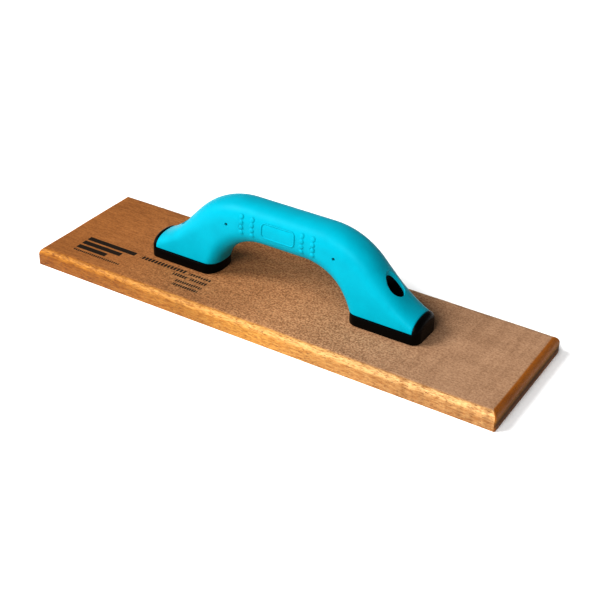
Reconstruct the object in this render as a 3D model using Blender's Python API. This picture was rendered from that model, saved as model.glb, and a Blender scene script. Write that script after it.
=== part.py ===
"""A timber hand float: a rounded hardwood blade, and a bridge handle of hard black plastic
under a soft moulded grip, held down by two wood screws and washers.

Frame: metres, +X along the blade, +Y across it, +Z up. The origin is on the working face,
at the middle of the blade. Every length below is in metres.
"""

import math

import bmesh
import bpy
from mathutils import Matrix, Vector

MM = 0.001
GAP = 0.3 * MM  # clearance kept between pieces that touch on the real tool

# The blade: a straight board with a rounded top edge on all four sides.
BLADE_LENGTH = 380 * MM
BLADE_WIDTH = 110 * MM
BLADE_THICKNESS = 14 * MM
TOP_ROUND = 5.6 * MM
ARRIS = 0.5 * MM

# The handle's side outline, for the half at +X. Heights are above the working face.
GRIP_TOP = 79.3 * MM
GRIP_UNDERSIDE = 48.9 * MM
SHOULDER_START = 32 * MM
SHOULDER_RADIUS = 58 * MM
SHOULDER_TURN = math.radians(48)
FLARE_START = 85 * MM
FLARE_END_SLOPE = 0.5
ARCH_START = 17.5 * MM
ARCH_RADIUS = 39 * MM
SKIRT_HEIGHT = 22.3 * MM  # where the soft grip ends and the black foot begins
COLLAR_PLANE = 108 * MM  # where the soft grip ends and the black heel begins
HEEL_TOP = 31 * MM

# Cross-sections of the handle.
GRIP_HALF_WIDTH = 15 * MM
BAR_ROUNDING = 14.2 * MM
HEEL_ROUNDING = HEEL_TOP - SKIRT_HEIGHT
TOE_ROUNDING = 10 * MM
SQUARENESS = 2.3  # 2 gives an ellipse, more gives a squarer corner
SKIN = 2.5 * MM
TURN_TO_FOOT = 0.55  # share of the way from mid-bar to foot where sections start to turn upright
CORE_REACH = 1.2 * MM  # how far the bar runs into each foot, to join it

# The black feet.
FOOT_HALF_WIDTH = 16 * MM
FOOT_TOE = 55.3 * MM
FOOT_HEEL = 113 * MM
HEEL_CORNER = 7 * MM
HEEL_CROWN = 5 * MM
HEEL_PROUD = 0.1 * MM
POCKETS = ((60 * MM, 77 * MM), (95 * MM, 109 * MM))  # hollows in the underside, clear of the screw
POCKET_WIDTH = 24 * MM
POCKET_DEPTH = 5 * MM

# The screws, their bores and the washers.
SCREW_X = 85.5 * MM
SEAT_HEIGHT = 21 * MM
ACCESS_RADIUS = 6.9 * MM
BORE_RADIUS = 6.0 * MM
CLEARANCE_RADIUS = 2.9 * MM
PILOT_DEPTH = 12 * MM
WASHER_RADIUS = 5.5 * MM
WASHER_HOLE = 2.8 * MM
WASHER_THICKNESS = 1.0 * MM
SCREW_LENGTH = 20 * MM
HEAD_RADIUS = 4.4 * MM
HEAD_HEIGHT = 3.3 * MM
THREAD_RADIUS = 2.45 * MM
THREAD_ROOT = 1.75 * MM
THREAD_PITCH = 2.2 * MM
THREAD_WIDTH = 0.64  # a ridge's width at its root, as a share of the pitch
NECK_LENGTH = 3.0 * MM
TIP_LENGTH = 4.0 * MM
RECESS_LENGTH = 5.0 * MM
RECESS_WIDTH = 1.1 * MM
RECESS_DEPTH = 2.2 * MM
RECESS_TAPER = 0.35  # the recess's length at its floor, as a share of its length at the mouth

# Small holes in the soft grip, left by the pins that hold the core in the mould.
PIN_X = 44.4 * MM
PIN_HEIGHT = 61.2 * MM
PIN_RADIUS = 0.9 * MM

STATIONS = 22  # rings between the middle of the bar and the foot
ARC_STEPS = 6  # points on each rounded corner of a ring
SIDE_STEPS = 3  # spans on the flat flank of a ring
ROUND_STEPS = 32


def clear_scene():
    for obj in list(bpy.data.objects):
        bpy.data.objects.remove(obj, do_unlink=True)


def material(name, colour, roughness, metallic=0.0):
    made = bpy.data.materials.new(name)
    made.use_nodes = True
    shader = made.node_tree.nodes["Principled BSDF"]
    shader.inputs["Base Color"].default_value = (*colour, 1.0)
    shader.inputs["Roughness"].default_value = roughness
    shader.inputs["Metallic"].default_value = metallic
    return made


def object_from(name, bm, finish=None, smooth_angle=40):
    """Makes an object of a bmesh, with its faces turned outwards and round parts shaded smooth."""
    bmesh.ops.remove_doubles(bm, verts=bm.verts, dist=1e-6)
    bmesh.ops.recalc_face_normals(bm, faces=bm.faces)
    mesh = bpy.data.meshes.new(name)
    bm.to_mesh(mesh)
    bm.free()
    mesh.shade_smooth()
    mesh.set_sharp_from_angle(angle=math.radians(smooth_angle))
    obj = bpy.data.objects.new(name, mesh)
    bpy.context.scene.collection.objects.link(obj)
    if finish:
        mesh.materials.append(finish)
    return obj


def helper(obj):
    """Marks a cutter or a piece that a Boolean reads, which isn't a part of the tool."""
    obj.hide_render = True
    obj.display_type = "WIRE"
    return obj


def boolean(obj, other, operation):
    modifier = obj.modifiers.new(f"{operation.lower()} {other.name}", "BOOLEAN")
    modifier.operation = operation
    modifier.solver = "EXACT"
    modifier.object = other


def cylinder(name, radius, low, high, centre=(0, 0), steps=ROUND_STEPS):
    """A helper cylinder that stands from height low to height high."""
    bm = bmesh.new()
    place = Matrix.Translation((centre[0], centre[1], (low + high) / 2))
    bmesh.ops.create_cone(
        bm,
        cap_ends=True,
        segments=steps,
        radius1=radius,
        radius2=radius,
        depth=high - low,
        matrix=place,
    )
    return helper(object_from(name, bm))


# --- The handle's outline ---------------------------------------------------------------


def along(points, share):
    """The point at a share of the length of a polyline."""
    lengths = [(b - a).length for a, b in zip(points, points[1:])]
    left = share * sum(lengths)
    for a, b, length in zip(points, points[1:], lengths):
        if left <= length:
            return a.lerp(b, left / length)
        left -= length
    return points[-1].copy()


def top_outline(steps=24):
    """The upper line of the handle at +X: a level bar, a round shoulder, a slope and a flare."""
    turns = [SHOULDER_TURN * i / steps for i in range(steps + 1)]
    centre = Vector((SHOULDER_START, GRIP_TOP - SHOULDER_RADIUS))
    shoulder = [centre + SHOULDER_RADIUS * Vector((math.sin(a), math.cos(a))) for a in turns]
    end = shoulder[-1]
    fall = math.tan(SHOULDER_TURN)
    flare_top = Vector((FLARE_START, end.y - (FLARE_START - end.x) * fall))
    heel = Vector((COLLAR_PLANE, HEEL_TOP))
    # The control point lies where the slope and the flare's last tangent cross.
    run = (flare_top.y - heel.y - FLARE_END_SLOPE * (heel.x - flare_top.x)) / (fall - FLARE_END_SLOPE)
    control = flare_top + Vector((run, -fall * run))
    flare = [
        flare_top.lerp(control, t).lerp(control.lerp(heel, t), t)
        for t in (i / steps for i in range(steps + 1))
    ]
    return [Vector((0, GRIP_TOP)), *shoulder, *flare]


def arch_outline(steps=24):
    """The lower line of the handle at +X: a level underside and a round arch down to the foot."""
    end_turn = math.acos(1 - (GRIP_UNDERSIDE - SKIRT_HEIGHT) / ARCH_RADIUS)
    turns = [end_turn * i / steps for i in range(steps + 1)]
    centre = Vector((ARCH_START, GRIP_UNDERSIDE - ARCH_RADIUS))
    arch = [centre + ARCH_RADIUS * Vector((math.sin(a), math.cos(a))) for a in turns]
    return [Vector((0, GRIP_UNDERSIDE)), *arch]


TOP = top_outline()
ARCH = arch_outline()


def ease(value, low, high):
    """0 below low, 1 above high, and a smooth step between them."""
    t = min(max((value - low) / (high - low), 0.0), 1.0)
    return t * t * (3 - 2 * t)


def inward(points, share, turn, span=0.01):
    """The unit normal of a polyline at a share of its length, turned into the material."""
    tangent = along(points, min(share + span, 1.0)) - along(points, max(share - span, 0.0))
    return Vector((-tangent.y, tangent.x)).normalized() * turn


def half_ring(share, inset=0.0):
    """Half a section of the handle, from its upper line round the +Y flank to its lower line.

    share is 0 at the middle of the bar and 1 where the grip meets the black foot. There the
    ring leaves its plane: it follows the heel's arch, the skirt's straight edge and the toe.
    inset moves the whole ring into the material.
    """
    foot = ease(share, TURN_TO_FOOT, 1.0)
    into_top = inward(TOP, share, -1).lerp(Vector((0, -1)), foot).normalized()
    into_arch = inward(ARCH, share, 1).lerp(Vector((1, 0)), foot).normalized()
    half_width = GRIP_HALF_WIDTH - inset
    power = 2 / SQUARENESS

    def corner(start, into, foot_rounding):
        reach = BAR_ROUNDING + (foot_rounding - BAR_ROUNDING) * foot - inset
        turns = [math.pi / 2 * i / ARC_STEPS for i in range(ARC_STEPS + 1)]
        return [
            (start + into * (inset + reach * (1 - math.cos(a) ** power)), half_width * math.sin(a) ** power)
            for a in turns
        ]

    upper = corner(along(TOP, share), into_top, HEEL_ROUNDING)
    lower = corner(along(ARCH, share), into_arch, TOE_ROUNDING)
    flank = [(upper[-1][0].lerp(lower[-1][0], i / SIDE_STEPS), half_width) for i in range(1, SIDE_STEPS)]
    return [Vector((p.x, y, p.y)) for p, y in [*upper, *flank, *reversed(lower)]]


def closed_ring(half):
    """The half ring with its mirror image across the handle's middle plane."""
    return half + [Vector((p.x, -p.y, p.z)) for p in reversed(half[1:-1])]


def handle_rings(inset=0.0, reach=0.0):
    """Rings from the left foot to the right foot. reach carries the end rings into the feet."""
    halves = [half_ring(i / STATIONS, inset) for i in range(STATIONS + 1)]
    if reach:
        outwards, down = Vector((reach, 0, 0)), Vector((0, 0, -reach))
        heel = [p + outwards for p in halves[-1][:ARC_STEPS]]
        heel_corner = halves[-1][ARC_STEPS] + outwards + down
        skirt = [p + down for p in halves[-1][ARC_STEPS + 1 :]]
        halves.append([*heel, heel_corner, *skirt])
    right = [closed_ring(half) for half in halves]
    left = [[Vector((-p.x, p.y, p.z)) for p in ring] for ring in reversed(right[1:])]
    return left + right


def skin_between(bm, rings):
    """Adds the rings and the strips of faces between them, and returns the rings' vertices."""
    placed = [[bm.verts.new(p) for p in ring] for ring in rings]
    for first, second in zip(placed, placed[1:]):
        count = len(first)
        for i in range(count):
            j = (i + 1) % count
            bm.faces.new((first[i], first[j], second[j], second[i]))
    return placed


def close_across(bm, ring):
    """Closes an end ring with strips that run straight from the +Y flank to the -Y flank."""
    half = len(ring) // 2
    for i in range(half):
        corners = [ring[i], ring[i + 1], ring[-(i + 1)], ring[-i] if i else ring[0]]
        bm.faces.new(dict.fromkeys(corners))


def handle_solid(name, inset, reach, finish):
    """The handle's shape, drawn in by inset, as one closed solid."""
    bm = bmesh.new()
    placed = skin_between(bm, handle_rings(inset, reach))
    close_across(bm, placed[0])
    close_across(bm, placed[-1])
    return object_from(name, bm, finish)


# --- The pieces -------------------------------------------------------------------------


def make_blade(wood):
    """The board: a box with its top edges rounded, its arrises eased and two blind pilot holes."""
    bm = bmesh.new()
    size = Matrix.Diagonal((BLADE_LENGTH, BLADE_WIDTH, BLADE_THICKNESS, 1))
    bmesh.ops.create_cube(bm, size=1, matrix=Matrix.Translation((0, 0, BLADE_THICKNESS / 2)) @ size)
    top_edges = [e for e in bm.edges if all(v.co.z > BLADE_THICKNESS / 2 for v in e.verts)]
    bmesh.ops.bevel(bm, geom=top_edges, offset=TOP_ROUND, segments=6, profile=0.5, affect="EDGES")
    base_edges = [e for e in bm.edges if all(v.co.z < ARRIS / 2 for v in e.verts)]
    bmesh.ops.bevel(bm, geom=base_edges, offset=ARRIS, segments=1, profile=0.5, affect="EDGES")
    blade = object_from("timber_blade", bm, wood)
    for side in (-1, 1):
        pilot = cylinder(
            f"pilot_cutter_{side}",
            CLEARANCE_RADIUS,
            BLADE_THICKNESS - PILOT_DEPTH,
            BLADE_THICKNESS + GAP,
            (side * SCREW_X, 0),
            steps=20,
        )
        boolean(blade, pilot, "DIFFERENCE")
    return blade


def foot_plan(steps=8):
    """The half-width of the black foot at each place along it, from the round toe to the heel."""
    power = 2 / SQUARENESS
    quarter = [math.pi / 2 * i / steps for i in range(steps + 1)]
    toe = [
        (FOOT_TOE + TOE_ROUNDING * (1 - math.cos(a) ** power), FOOT_HALF_WIDTH * math.sin(a) ** power)
        for a in quarter
    ]
    corner_x, corner_y = FOOT_HEEL - HEEL_CORNER, FOOT_HALF_WIDTH - HEEL_CORNER
    heel = [(corner_x + HEEL_CORNER * math.sin(a), corner_y + HEEL_CORNER * math.cos(a)) for a in quarter]
    return toe + heel


def foot_rings(side, crown_steps=9):
    """Sections of one black foot: a level plate, and a heel that closes the end of the grip."""
    base, plate_top = BLADE_THICKNESS + GAP, SKIRT_HEIGHT - GAP
    heel_start = COLLAR_PLANE + GAP
    power = 2 / SQUARENESS
    turns = [math.pi / 2 * k / crown_steps for k in range(crown_steps + 1)]

    def section(x, half_width, crown):
        arch = [
            Vector((side * x, half_width * math.cos(a) ** power, plate_top + crown * math.sin(a) ** power))
            for a in turns
        ]
        half = [Vector((side * x, half_width, base)), *arch]
        return half + [Vector((p.x, -p.y, p.z)) for p in reversed(half[:-1])]

    def heel_crown(x):
        draw_in = (x - heel_start) / (FOOT_HEEL - heel_start)
        return HEEL_TOP + HEEL_PROUD - plate_top - HEEL_CROWN * (1 - math.sqrt(1 - draw_in**2))

    into_corner = heel_start - (FOOT_HEEL - HEEL_CORNER)
    start_width = FOOT_HALF_WIDTH - HEEL_CORNER + math.sqrt(HEEL_CORNER**2 - into_corner**2)
    rings = [section(x, width, 0.0) for x, width in foot_plan() if x < heel_start]
    rings += [section(heel_start, start_width, crown) for crown in (0.0, heel_crown(heel_start))]
    rings += [section(x, width, heel_crown(x)) for x, width in foot_plan() if x > heel_start]
    return rings


def make_feet():
    """Both black feet, in one helper."""
    bm = bmesh.new()
    for side in (-1, 1):
        placed = skin_between(bm, foot_rings(side))
        bm.faces.new(placed[-1])
    return helper(object_from("feet", bm))


def make_hollows():
    """What is cut from the core: a stepped bore over each screw, and two pockets under each foot."""
    underside = BLADE_THICKNESS + GAP
    profile = [
        (CLEARANCE_RADIUS, underside - MM),
        (CLEARANCE_RADIUS, SEAT_HEIGHT),
        (BORE_RADIUS, SEAT_HEIGHT),
        (BORE_RADIUS, GRIP_TOP),
    ]
    bm = bmesh.new()
    for side in (-1, 1):
        placed = skin_between(bm, [circle(r, z, ROUND_STEPS, side * SCREW_X) for r, z in profile])
        bm.faces.new(placed[0])
        bm.faces.new(placed[-1])
        for low, high in POCKETS:
            size = Matrix.Diagonal((high - low, POCKET_WIDTH, 2 * POCKET_DEPTH, 1))
            centre = (side * (low + high) / 2, 0, underside)
            bmesh.ops.create_cube(bm, size=1, matrix=Matrix.Translation(centre) @ size)
    return helper(object_from("hollows", bm))


def make_core(plastic):
    """The hard core: the bar inside the grip, with a foot, a screw bore and a seat at each end."""
    core = handle_solid("handle_core", SKIN + GAP, CORE_REACH, plastic)
    boolean(core, make_feet(), "UNION")
    seams = core.modifiers.new("close the seams", "WELD")
    seams.merge_threshold = 0.01 * MM
    boolean(core, make_hollows(), "DIFFERENCE")
    return core


def make_grip(rubber):
    """The soft grip: a skin over the core, pierced over each screw and at the mould pins."""
    bm = bmesh.new()
    outside = skin_between(bm, handle_rings())
    inside = skin_between(bm, handle_rings(inset=SKIN))
    for outer, inner in ((outside[0], inside[0]), (outside[-1], inside[-1])):
        count = len(outer)
        for i in range(count):
            j = (i + 1) % count
            bm.faces.new((outer[i], outer[j], inner[j], inner[i]))
    grip = object_from("soft_grip", bm, rubber)
    for side in (-1, 1):
        access = cylinder(f"access_{side}", ACCESS_RADIUS, SEAT_HEIGHT + MM, GRIP_TOP, (side * SCREW_X, 0))
        boolean(grip, access, "DIFFERENCE")
        pin = cylinder(f"pin_{side}", PIN_RADIUS, -2 * GRIP_HALF_WIDTH, 2 * GRIP_HALF_WIDTH, steps=12)
        pin.rotation_euler = (math.pi / 2, 0, 0)
        pin.location = (side * PIN_X, 0, PIN_HEIGHT)
        boolean(grip, pin, "DIFFERENCE")
    return grip


def circle(radius, z, steps, centre_x=0.0):
    """Points evenly round a level circle. radius may be a function of the angle."""
    turns = [math.tau * i / steps for i in range(steps)]
    radii = [radius(t) if callable(radius) else radius for t in turns]
    return [Vector((centre_x + r * math.cos(t), r * math.sin(t), z)) for r, t in zip(radii, turns)]


def thread_radius(depth, turn):
    """The wood screw's radius at a depth below its head and an angle round its axis."""
    into_thread = depth - NECK_LENGTH
    along_pitch = (into_thread / THREAD_PITCH + turn / math.tau) % 1.0
    ridge = max(0.0, 1 - abs(along_pitch - 0.5) / (THREAD_WIDTH / 2))
    run_in = min(1.0, into_thread / THREAD_PITCH)
    taper = min(1.0, (SCREW_LENGTH - depth) / TIP_LENGTH)
    return (THREAD_ROOT + (THREAD_RADIUS - THREAD_ROOT) * ridge * run_in) * taper


def screw_rings(steps=14, rings_per_turn=6):
    """Rings of the screw from the crown of its pan head to its tip, with the head's seat at 0."""
    rim = HEAD_HEIGHT * 0.45  # height of the head's upright edge
    crown = HEAD_HEIGHT - rim
    domes = [math.radians(angle) for angle in (20, 40, 60, 80)]
    rings = [circle(HEAD_RADIUS * math.sin(a), rim + crown * math.cos(a), steps) for a in domes]
    rings += [circle(r, z, steps) for r, z in ((HEAD_RADIUS, rim), (HEAD_RADIUS, 0.0), (THREAD_ROOT, 0.0))]
    spacing = THREAD_PITCH / rings_per_turn
    count = int((SCREW_LENGTH - NECK_LENGTH) / spacing)
    for depth in (NECK_LENGTH + spacing * i for i in range(count)):
        rings.append(circle(lambda turn: thread_radius(depth, turn), -depth, steps))
    return rings


def recess_cutter(name, angle):
    """One bar of the cross recess, narrower at its floor than at its mouth."""
    bm = bmesh.new()
    size = Matrix.Diagonal((RECESS_LENGTH, RECESS_WIDTH, 2 * RECESS_DEPTH, 1))
    bmesh.ops.create_cube(bm, size=1, matrix=size)
    for vert in bm.verts:
        if vert.co.z < 0:
            vert.co.x *= RECESS_TAPER
    cutter = helper(object_from(name, bm))
    cutter.location.z = HEAD_HEIGHT
    cutter.rotation_euler.z = angle
    return cutter


def make_screw(name, side, steel):
    """A pan-head wood screw with a cross recess, standing in its bore."""
    bm = bmesh.new()
    placed = skin_between(bm, screw_rings())
    crown = bm.verts.new((0, 0, HEAD_HEIGHT))
    tip = bm.verts.new((0, 0, -SCREW_LENGTH))
    for end, ring in ((crown, placed[0]), (tip, placed[-1])):
        for i, vert in enumerate(ring):
            bm.faces.new((end, vert, ring[(i + 1) % len(ring)]))
    screw = object_from(name, bm, steel, smooth_angle=50)
    screw.location = (side * SCREW_X, 0, SEAT_HEIGHT + WASHER_THICKNESS + 2 * GAP)
    for bar, angle in (("a", math.radians(45)), ("b", math.radians(135))):
        cutter = recess_cutter(f"recess_{name}_{bar}", angle)
        cutter.parent = screw
        boolean(screw, cutter, "DIFFERENCE")
    return screw


def make_washer(name, side, steel):
    """A flat washer between the screw's head and the seat in the core."""
    bm = bmesh.new()
    corners = ((WASHER_HOLE, 0), (WASHER_RADIUS, 0), (WASHER_RADIUS, 1), (WASHER_HOLE, 1), (WASHER_HOLE, 0))
    skin_between(bm, [circle(radius, face * WASHER_THICKNESS, ROUND_STEPS) for radius, face in corners])
    washer = object_from(name, bm, steel)
    washer.location = (side * SCREW_X, 0, SEAT_HEIGHT + GAP)
    return washer


clear_scene()
wood = material("timber", (0.42, 0.22, 0.10), 0.55)
plastic = material("black_plastic", (0.012, 0.012, 0.013), 0.35)
rubber = material("cyan_rubber", (0.0, 0.48, 0.62), 0.5)
steel = material("zinc_steel", (0.62, 0.62, 0.60), 0.3, metallic=1.0)

make_blade(wood)
make_core(plastic)
make_grip(rubber)
for label, side in (("left", -1), ("right", 1)):
    make_screw(f"handle_screw_{label}", side, steel)
    make_washer(f"washer_{label}", side, steel)
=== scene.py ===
# %% [markdown]
# # A timber hand float
#
# A plasterer levels and closes a wall with this tool. It is a long hardwood board with rounded
# top edges, and a bridge handle in the middle. The handle is moulded twice: a hard black core
# first, and then a soft cyan grip over it. Two wood screws hold it down, deep inside two bores.
#
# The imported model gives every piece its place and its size. This lesson replaces its plain
# solids with finer meshes in the same places, and gives each one a finish made of nodes.

# %% Load the frame
import math

import bmesh
import bpy
from mathutils import Matrix, Vector, noise
from mathutils.bvhtree import BVHTree


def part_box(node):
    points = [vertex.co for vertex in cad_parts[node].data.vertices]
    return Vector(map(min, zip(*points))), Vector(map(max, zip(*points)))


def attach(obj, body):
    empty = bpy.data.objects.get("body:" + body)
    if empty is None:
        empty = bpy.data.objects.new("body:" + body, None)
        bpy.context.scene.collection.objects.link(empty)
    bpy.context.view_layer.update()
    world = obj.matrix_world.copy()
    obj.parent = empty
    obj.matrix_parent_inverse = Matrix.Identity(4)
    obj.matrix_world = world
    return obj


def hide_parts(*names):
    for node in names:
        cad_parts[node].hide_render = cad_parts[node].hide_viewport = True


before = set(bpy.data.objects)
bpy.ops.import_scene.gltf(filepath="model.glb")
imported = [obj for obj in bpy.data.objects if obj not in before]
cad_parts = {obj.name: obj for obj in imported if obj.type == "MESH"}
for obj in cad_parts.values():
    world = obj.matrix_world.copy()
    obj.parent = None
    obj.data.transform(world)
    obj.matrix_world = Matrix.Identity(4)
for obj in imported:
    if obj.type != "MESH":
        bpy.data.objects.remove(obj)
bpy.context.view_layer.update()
MM = 0.001
print("frame loaded, with the nodes", sorted(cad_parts))

# %% [markdown]
# ## Measures
#
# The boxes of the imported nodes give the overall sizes: how long the board is, how high the grip
# rises, where the soft grip stops and the black foot begins. The radii of the handle's outline
# can't be read from a box, so they are named here with the same values as in the solid model.

# %% Sizes from the frame, and the outline's radii
blade_low, blade_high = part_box("timber_blade")
grip_low, grip_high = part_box("soft_grip")
core_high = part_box("handle_core")[1]
washer_low, washer_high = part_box("washer_right")
screw_low, screw_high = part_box("handle_screw_right")

GAP = 0.3 * MM  # kept between pieces that touch
BLADE_TOP = blade_high.z
GRIP_TOP = grip_high.z
GRIP_HALF_WIDTH = grip_high.y
SKIRT_HEIGHT = grip_low.z
COLLAR_PLANE = grip_high.x
FOOT_HALF_WIDTH = core_high.y
FOOT_HEEL = core_high.x
SCREW_X = (washer_low.x + washer_high.x) / 2
SEAT_HEIGHT = washer_low.z - GAP

GRIP_UNDERSIDE = 48.9 * MM
SHOULDER_START = 32 * MM
SHOULDER_RADIUS = 58 * MM
SHOULDER_TURN = math.radians(48)
FLARE_START = 85 * MM
FLARE_END_SLOPE = 0.5
ARCH_START = 17.5 * MM
ARCH_RADIUS = 39 * MM
HEEL_TOP = 31 * MM
BAR_ROUNDING = 14.2 * MM
HEEL_ROUNDING = HEEL_TOP - SKIRT_HEIGHT
TOE_ROUNDING = 10 * MM
SQUARENESS = 2.3
SKIN = 2.5 * MM
TURN_TO_FOOT = 0.55
print(f"blade {(blade_high.x - blade_low.x) / MM:.0f} mm long, grip {GRIP_TOP / MM:.1f} mm high")

# %% [markdown]
# ## Helpers for finishes
#
# A finish is a small tree of nodes. Writing one in a script goes quickly with a few helpers: one
# adds any node and fills its inputs, some do sums, and one gives a place on the object in
# millimetres. Object coordinates are used all through, so a grain or a speckle stays the same
# size on every piece and never slides when the camera moves.

# %% Node helpers
def display_colour(red, green, blue):
    """A colour given as screen values from 0 to 255, as the linear values that shaders use."""
    parts = [value / 255 for value in (red, green, blue)]
    linear = [p / 12.92 if p <= 0.04045 else ((p + 0.055) / 1.055) ** 2.4 for p in parts]
    return (*linear, 1.0)


LIT = 0.88  # the lights are a little too bright on purpose, so that the floor comes out white


def base_colour(red, green, blue):
    """The colour of a finish that looks like these screen values under the lights of this scene."""
    return (*(LIT * value for value in display_colour(red, green, blue)[:3]), 1.0)


def fill(tree, node, inputs):
    """Links every input to a socket, or sets it to a plain value."""
    for name, value in inputs.items():
        if isinstance(value, bpy.types.NodeSocket):
            tree.links.new(value, node.inputs[name])
        else:
            node.inputs[name].default_value = value


def add_node(tree, kind, inputs=None, **settings):
    """Adds a node, sets its options and fills its inputs, and returns all its outputs."""
    node = tree.nodes.new(kind)
    for name, value in settings.items():
        setattr(node, name, value)
    fill(tree, node, inputs or {})
    return node.outputs


def result(tree, kind, inputs=None, **settings):
    """Adds a node and returns its first output."""
    return add_node(tree, kind, inputs, **settings)[0]


def sum_node(tree, operation, *values, clamp=False):
    """A Math node on one, two or three values, and its result."""
    inputs = dict(enumerate(values))
    return result(tree, "ShaderNodeMath", inputs, operation=operation, use_clamp=clamp)


def times(tree, first, second, clamp=False):
    """The product of two values."""
    return sum_node(tree, "MULTIPLY", first, second, clamp=clamp)


def weighted(tree, start, *pairs):
    """start plus every value times its weight, for (value, weight) pairs."""
    total = start
    for value, weight in pairs:
        total = sum_node(tree, "MULTIPLY_ADD", value, weight, total)
    return total


def blend_colours(tree, share, first, second, how="MIX"):
    """A colour between two others: the first at share 0 and the second at share 1."""
    inputs = {0: share, 6: first, 7: second}
    return add_node(tree, "ShaderNodeMix", inputs, data_type="RGBA", blend_type=how)[2]


def step_between(tree, value, low, high):
    """0 below low, 1 above high, and smooth between them. low may be the larger one."""
    inputs = {"Value": value, "From Min": low, "From Max": high}
    return result(tree, "ShaderNodeMapRange", inputs, interpolation_type="SMOOTHSTEP")


def place_in_mm(tree, stretch=(1, 1, 1), turn=0.0):
    """Where a point lies on the object, in millimetres, stretched and turned about Z."""
    point = add_node(tree, "ShaderNodeTexCoord")["Object"]
    scale = [amount / MM for amount in stretch]
    inputs = {"Vector": point, "Scale": scale, "Rotation": (0, 0, turn)}
    return result(tree, "ShaderNodeMapping", inputs)


def grain(tree, place, size, detail=3.0, roughness=0.55):
    """Noise from 0 to 1 whose blotches are about size across, in the place's own units."""
    inputs = {"Vector": place, "Scale": 1 / size, "Detail": detail, "Roughness": roughness}
    return add_node(tree, "ShaderNodeTexNoise", inputs)["Fac"]


def ramp(tree, value, stops):
    """A colour ramp through (position, colour) stops."""
    ramped = result(tree, "ShaderNodeValToRGB", {0: value})
    marks = ramped.node.color_ramp.elements
    while len(marks) < len(stops):
        marks.new(0.5)
    for mark, (position, colour) in zip(marks, stops):
        mark.position = position
        mark.color = colour
    return ramped


def tone_ramp(tree, value, tones):
    """A ramp through (position, screen values) tones of a finish."""
    return ramp(tree, value, [(position, base_colour(*tone)) for position, tone in tones])


def two_tones(tree, share, first, second):
    """An even blend of one tone of a finish into another."""
    return blend_colours(tree, share, base_colour(*first), base_colour(*second))


def bump(tree, height, depth, strength=1.0, over=None):
    """A bump from a height of 0 to 1 that stands for a relief of that depth, over another bump."""
    inputs = {"Height": height, "Distance": depth, "Strength": strength}
    if over:
        inputs["Normal"] = over
    return result(tree, "ShaderNodeBump", inputs)


def new_finish(name):
    """A new material, its tree and its shader."""
    finish = bpy.data.materials.new(name)
    finish.use_nodes = True
    return finish, finish.node_tree, finish.node_tree.nodes["Principled BSDF"]


print("node helpers ready")

# %% [markdown]
# ## Helpers for meshes
#
# Most pieces here are lofts: a ring of points is carried along the piece while it changes shape,
# and faces join each ring to the next. Blender can loft with Bridge Edge Loops or with a bevelled
# curve, but the handle's rings turn from upright ovals into the flat plan of a foot, which
# neither does. Working out each ring in code keeps that change under control.

# %% Mesh helpers
SMOOTH_ANGLE = math.radians(35)  # edges sharper than this stay crisp
MERGE_DISTANCE = 0.001 * MM
QUARTER = math.pi / 2


def sweep(turn, steps):
    """The angles from 0 to turn, in even steps."""
    return [turn * i / steps for i in range(steps + 1)]


def skin_between(bm, rings):
    """Adds the rings and the strips of faces between them, and returns the rings' vertices."""
    placed = [[bm.verts.new(p) for p in ring] for ring in rings]
    for first, second in zip(placed, placed[1:]):
        for i in range(len(first)):
            j = (i + 1) % len(first)
            bm.faces.new((first[i], first[j], second[j], second[i]))
    return placed


def loft(rings, closed=True):
    """A bmesh of the skin between the rings, with one face at each end if it is closed."""
    bm = bmesh.new()
    placed = skin_between(bm, rings)
    if closed:
        bm.faces.new(placed[0])
        bm.faces.new(placed[-1])
    return bm


def close_across(bm, ring):
    """Closes an end ring with strips that run straight from its +Y half to its -Y half."""
    for i in range(len(ring) // 2):
        corners = [ring[i], ring[i + 1], ring[-(i + 1)], ring[-i] if i else ring[0]]
        bm.faces.new(dict.fromkeys(corners))


def circle(radius, z, steps, centre_x=0.0):
    """Points evenly round a level circle."""
    turns = sweep(math.tau, steps)[:-1]
    return [Vector((centre_x + radius * math.cos(t), radius * math.sin(t), z)) for t in turns]


def shade(mesh):
    """Smooth shading that leaves sharp edges crisp."""
    mesh.shade_smooth()
    mesh.set_sharp_from_angle(angle=SMOOTH_ANGLE)


def piece_from(name, bm, finish=None):
    """Makes an object of a bmesh, merged and with its faces turned outwards."""
    bmesh.ops.remove_doubles(bm, verts=bm.verts, dist=MERGE_DISTANCE)
    bmesh.ops.recalc_face_normals(bm, faces=bm.faces)
    mesh = bpy.data.meshes.new(name)
    bm.to_mesh(mesh)
    bm.free()
    piece = bpy.data.objects.new(name, mesh)
    bpy.context.scene.collection.objects.link(piece)
    if finish:
        mesh.materials.append(finish)
    shade(mesh)
    return piece


def settle(piece):
    """Turns the piece's modifiers into plain mesh."""
    graph = bpy.context.evaluated_depsgraph_get()
    mesh = bpy.data.meshes.new_from_object(piece.evaluated_get(graph))
    piece.modifiers.clear()
    piece.data = mesh
    shade(mesh)


def combine(piece, others, operation):
    """Cuts, joins or crosses the piece with others, one after another, and removes them."""
    for other in others:
        step = piece.modifiers.new(other.name, "BOOLEAN")
        step.operation = operation
        step.solver = "EXACT"
        step.object = other
    settle(piece)
    for other in others:
        bpy.data.objects.remove(other)


print("mesh helpers ready")
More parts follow.
